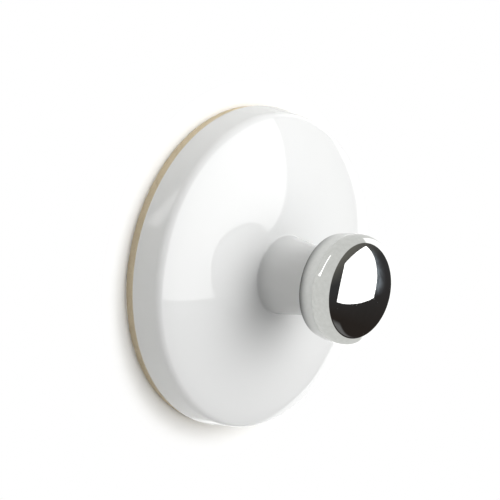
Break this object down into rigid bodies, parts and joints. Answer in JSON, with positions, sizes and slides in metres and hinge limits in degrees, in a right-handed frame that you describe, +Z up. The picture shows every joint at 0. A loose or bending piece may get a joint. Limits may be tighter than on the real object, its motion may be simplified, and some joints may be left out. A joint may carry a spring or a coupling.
{
  "type": "adhesive wall hook",
  "caption": "Round self-adhesive wall hook: shallow domed white plate, short tapered stem and a rounded chrome knob with a flat back.",
  "frame": {"origin": "centre of the adhesive pad's wall face", "axes": "+Y into the wall along the stem's axis, so the knob stands out along -Y; +Z up; +X to the right as seen from the front"},
  "size_m": [0.06, 0.0333, 0.06],
  "materials": {
    "white_moulding": "gloss",
    "chrome": "polished",
    "screw_steel": "zinc plated",
    "foam_pad": "matte closed-cell foam"
  },
  "bodies": {
    "root": {"wall_plate": "white_moulding", "knob": "chrome", "fixing_screw": "screw_steel", "adhesive_pad": "foam_pad"}
  },
  "joints": []
}
